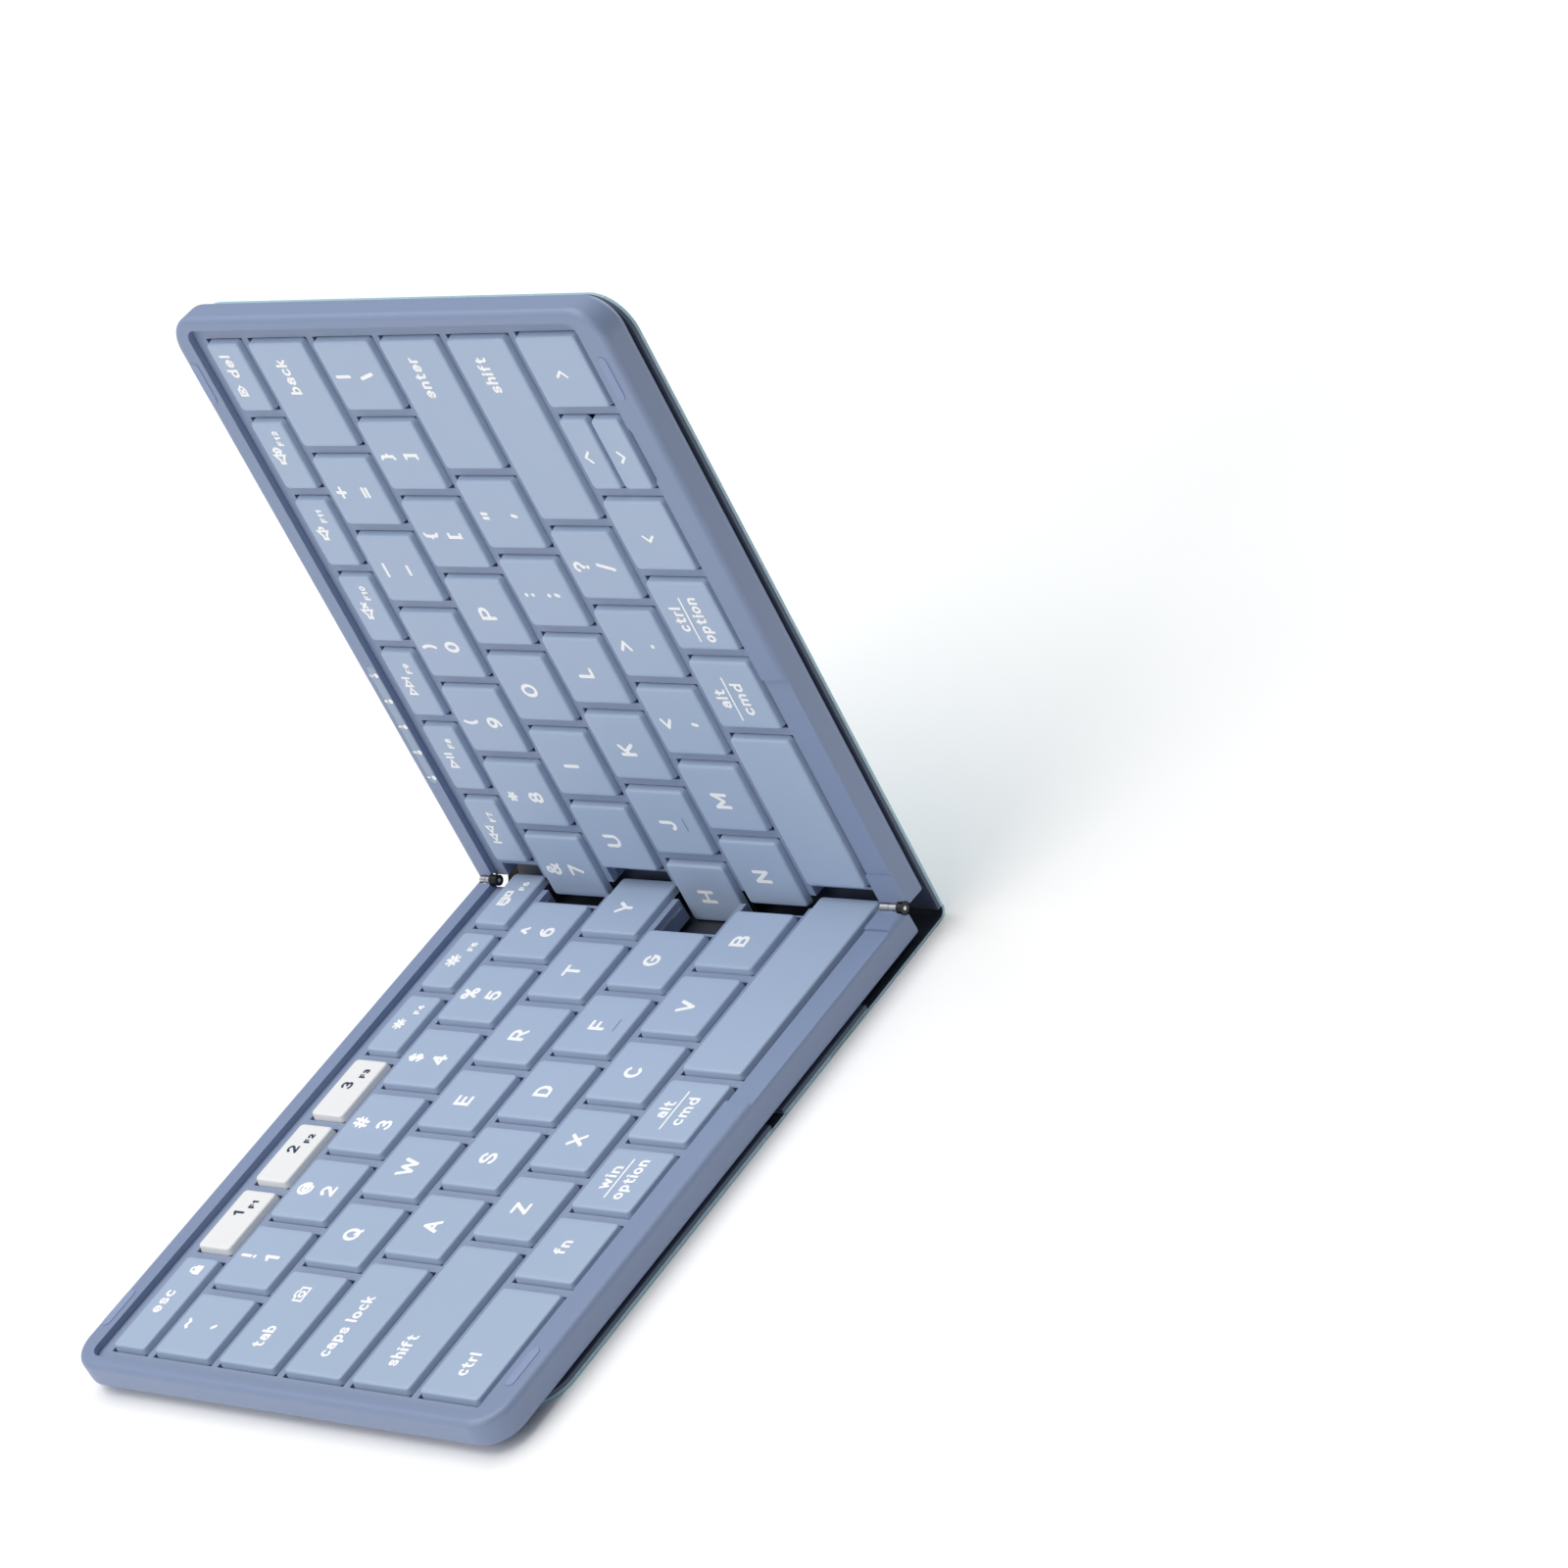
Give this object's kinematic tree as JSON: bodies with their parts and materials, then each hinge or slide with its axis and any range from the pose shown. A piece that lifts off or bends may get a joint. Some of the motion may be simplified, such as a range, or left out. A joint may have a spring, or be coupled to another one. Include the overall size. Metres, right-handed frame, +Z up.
{
  "type": "folding keyboard",
  "caption": "Keyboard in two hinged halves whose keys interleave across the fold, in a leather cover that slides and folds with it.",
  "frame": {"origin": "middle of the footprint at rest, on the table plane under the leather cover", "axes": "+X from the flat left half towards the raised right half, +Y away from the typist, +Z up; the left half lies flat and the right half stands raised 87.5 degrees from flat"},
  "size_m": [0.1478, 0.1152, 0.1418],
  "materials": {
    "case": "blue-grey painted plastic, satin",
    "deck": "blue-grey plastic, satin",
    "keycap": "pale blue-grey plastic, fine matt",
    "plate": "slate plastic sheet",
    "leather": "pale blue grained leather",
    "steel": "bare steel",
    "membrane": "black printed film",
    "dome": "white silicone",
    "scissor": "white plastic",
    "pad": "blue-grey rubber",
    "bush": "black plastic",
    "board": "green circuit board",
    "ribbon": "amber polyimide film",
    "battery": "dark foil pouch",
    "window": "translucent plastic",
    "tape": "black adhesive sheet"
  },
  "bodies": {
    "left_half": {"left_case": "case", "left_deck": "deck", "left_switch_plate": "steel", "left_membrane": "membrane", "left_domes": "dome", "left_scissors": "scissor", "left_rim_pads": "pad", "left_screws": "steel", "left_hinge_arms": "steel", "left_magnets": "steel", "left_slide_pads": "tape", "hinge_pins": "steel", "hinge_bushes": "bush", "main_board": "board", "flex_cable": "ribbon", "spine_leather": "leather"},
    "right_half": {"right_case": "case", "right_deck": "deck", "right_switch_plate": "steel", "right_membrane": "membrane", "right_domes": "dome", "right_scissors": "scissor", "right_rim_pads": "pad", "right_screws": "steel", "right_hinge_arms": "steel", "right_magnets": "steel", "battery": "battery", "charging_socket": "steel", "indicator_window": "window", "right_cover_tape": "tape", "right_cover_plate": "plate", "right_cover_leather": "leather"},
    "inner_panel": {"inner_panel_plate": "plate", "inner_panel_leather": "leather", "slide_rivets": "steel", "crease_leather": "leather"},
    "outer_panel": {"outer_panel_plate": "plate", "outer_panel_leather": "leather"},
    "escape_key": {"escape_key": "keycap"},
    "left_function_keys": {"left_function_keys": "keycap"},
    "left_number_keys": {"left_number_keys": "keycap"},
    "tab_key": {"tab_key": "keycap"},
    "left_upper_keys": {"left_upper_keys": "keycap"},
    "caps_lock_key": {"caps_lock_key": "keycap"},
    "left_home_keys": {"left_home_keys": "keycap"},
    "left_shift_key": {"left_shift_key": "keycap"},
    "left_lower_keys": {"left_lower_keys": "keycap"},
    "left_modifier_keys": {"left_modifier_keys": "keycap"},
    "left_space_bar": {"left_space_bar": "keycap"},
    "right_function_keys": {"right_function_keys": "keycap"},
    "right_number_keys": {"right_number_keys": "keycap"},
    "backspace_key": {"backspace_key": "keycap"},
    "right_upper_keys": {"right_upper_keys": "keycap"},
    "right_home_keys": {"right_home_keys": "keycap"},
    "enter_key": {"enter_key": "keycap"},
    "right_lower_keys": {"right_lower_keys": "keycap"},
    "right_shift_key": {"right_shift_key": "keycap"},
    "right_space_bar": {"right_space_bar": "keycap"},
    "right_modifier_keys": {"right_modifier_keys": "keycap"},
    "arrow_keys": {"arrow_keys": "keycap"}
  },
  "joints": [
    {"name": "fold_hinge", "type": "hinge", "parent": "left_half", "child": "right_half", "pos_m": [0.05992, -0.00435, 0.0082], "axis": [0, -1, 0], "range_deg": [-87.5, 92.5], "deforming": ["flex_cable", "spine_leather"]},
    {"name": "cover_slide", "type": "slide", "parent": "left_half", "child": "inner_panel", "axis": [1, 0, 0], "range_m": [-0.0123, 0.013]},
    {"name": "cover_crease", "type": "hinge", "parent": "inner_panel", "child": "outer_panel", "pos_m": [0.01112, -0.00435, 0.0003], "axis": [0, -1, 0], "range_deg": [0, 120], "deforming": ["crease_leather"]},
    {"name": "escape_press", "type": "slide", "parent": "left_half", "child": "escape_key", "axis": [0, 0, -1], "range_m": [0, 0.0012], "stiffness_N_per_m": 500, "springref_m": -0.0004},
    {"name": "left_function_press", "type": "slide", "parent": "left_half", "child": "left_function_keys", "axis": [0, 0, -1], "range_m": [0, 0.0012], "stiffness_N_per_m": 500, "springref_m": -0.0004},
    {"name": "left_number_press", "type": "slide", "parent": "left_half", "child": "left_number_keys", "axis": [0, 0, -1], "range_m": [0, 0.0012], "stiffness_N_per_m": 500, "springref_m": -0.0004},
    {"name": "tab_press", "type": "slide", "parent": "left_half", "child": "tab_key", "axis": [0, 0, -1], "range_m": [0, 0.0012], "stiffness_N_per_m": 500, "springref_m": -0.0004},
    {"name": "left_upper_press", "type": "slide", "parent": "left_half", "child": "left_upper_keys", "axis": [0, 0, -1], "range_m": [0, 0.0012], "stiffness_N_per_m": 500, "springref_m": -0.0004},
    {"name": "caps_lock_press", "type": "slide", "parent": "left_half", "child": "caps_lock_key", "axis": [0, 0, -1], "range_m": [0, 0.0012], "stiffness_N_per_m": 500, "springref_m": -0.0004},
    {"name": "left_home_press", "type": "slide", "parent": "left_half", "child": "left_home_keys", "axis": [0, 0, -1], "range_m": [0, 0.0012], "stiffness_N_per_m": 500, "springref_m": -0.0004},
    {"name": "left_shift_press", "type": "slide", "parent": "left_half", "child": "left_shift_key", "axis": [0, 0, -1], "range_m": [0, 0.0012], "stiffness_N_per_m": 500, "springref_m": -0.0004},
    {"name": "left_lower_press", "type": "slide", "parent": "left_half", "child": "left_lower_keys", "axis": [0, 0, -1], "range_m": [0, 0.0012], "stiffness_N_per_m": 500, "springref_m": -0.0004},
    {"name": "left_modifier_press", "type": "slide", "parent": "left_half", "child": "left_modifier_keys", "axis": [0, 0, -1], "range_m": [0, 0.0012], "stiffness_N_per_m": 500, "springref_m": -0.0004},
    {"name": "left_space_press", "type": "slide", "parent": "left_half", "child": "left_space_bar", "axis": [0, 0, -1], "range_m": [0, 0.0012], "stiffness_N_per_m": 500, "springref_m": -0.0004},
    {"name": "right_function_press", "type": "slide", "parent": "right_half", "child": "right_function_keys", "axis": [0.999, 0, -0.0436], "range_m": [0, 0.0012], "stiffness_N_per_m": 500, "springref_m": -0.0004},
    {"name": "right_number_press", "type": "slide", "parent": "right_half", "child": "right_number_keys", "axis": [0.999, 0, -0.0436], "range_m": [0, 0.0012], "stiffness_N_per_m": 500, "springref_m": -0.0004},
    {"name": "backspace_press", "type": "slide", "parent": "right_half", "child": "backspace_key", "axis": [0.999, 0, -0.0436], "range_m": [0, 0.0012], "stiffness_N_per_m": 500, "springref_m": -0.0004},
    {"name": "right_upper_press", "type": "slide", "parent": "right_half", "child": "right_upper_keys", "axis": [0.999, 0, -0.0436], "range_m": [0, 0.0012], "stiffness_N_per_m": 500, "springref_m": -0.0004},
    {"name": "right_home_press", "type": "slide", "parent": "right_half", "child": "right_home_keys", "axis": [0.999, 0, -0.0436], "range_m": [0, 0.0012], "stiffness_N_per_m": 500, "springref_m": -0.0004},
    {"name": "enter_press", "type": "slide", "parent": "right_half", "child": "enter_key", "axis": [0.999, 0, -0.0436], "range_m": [0, 0.0012], "stiffness_N_per_m": 500, "springref_m": -0.0004},
    {"name": "right_lower_press", "type": "slide", "parent": "right_half", "child": "right_lower_keys", "axis": [0.999, 0, -0.0436], "range_m": [0, 0.0012], "stiffness_N_per_m": 500, "springref_m": -0.0004},
    {"name": "right_shift_press", "type": "slide", "parent": "right_half", "child": "right_shift_key", "axis": [0.999, 0, -0.0436], "range_m": [0, 0.0012], "stiffness_N_per_m": 500, "springref_m": -0.0004},
    {"name": "right_space_press", "type": "slide", "parent": "right_half", "child": "right_space_bar", "axis": [0.999, 0, -0.0436], "range_m": [0, 0.0012], "stiffness_N_per_m": 500, "springref_m": -0.0004},
    {"name": "right_modifier_press", "type": "slide", "parent": "right_half", "child": "right_modifier_keys", "axis": [0.999, 0, -0.0436], "range_m": [0, 0.0012], "stiffness_N_per_m": 500, "springref_m": -0.0004},
    {"name": "arrow_press", "type": "slide", "parent": "right_half", "child": "arrow_keys", "axis": [0.999, 0, -0.0436], "range_m": [0, 0.0012], "stiffness_N_per_m": 500, "springref_m": -0.0004}
  ],
  "couplings": [
    {"joint": "cover_slide", "follows": "fold_hinge", "m_per_rad": 0.008}
  ]
}
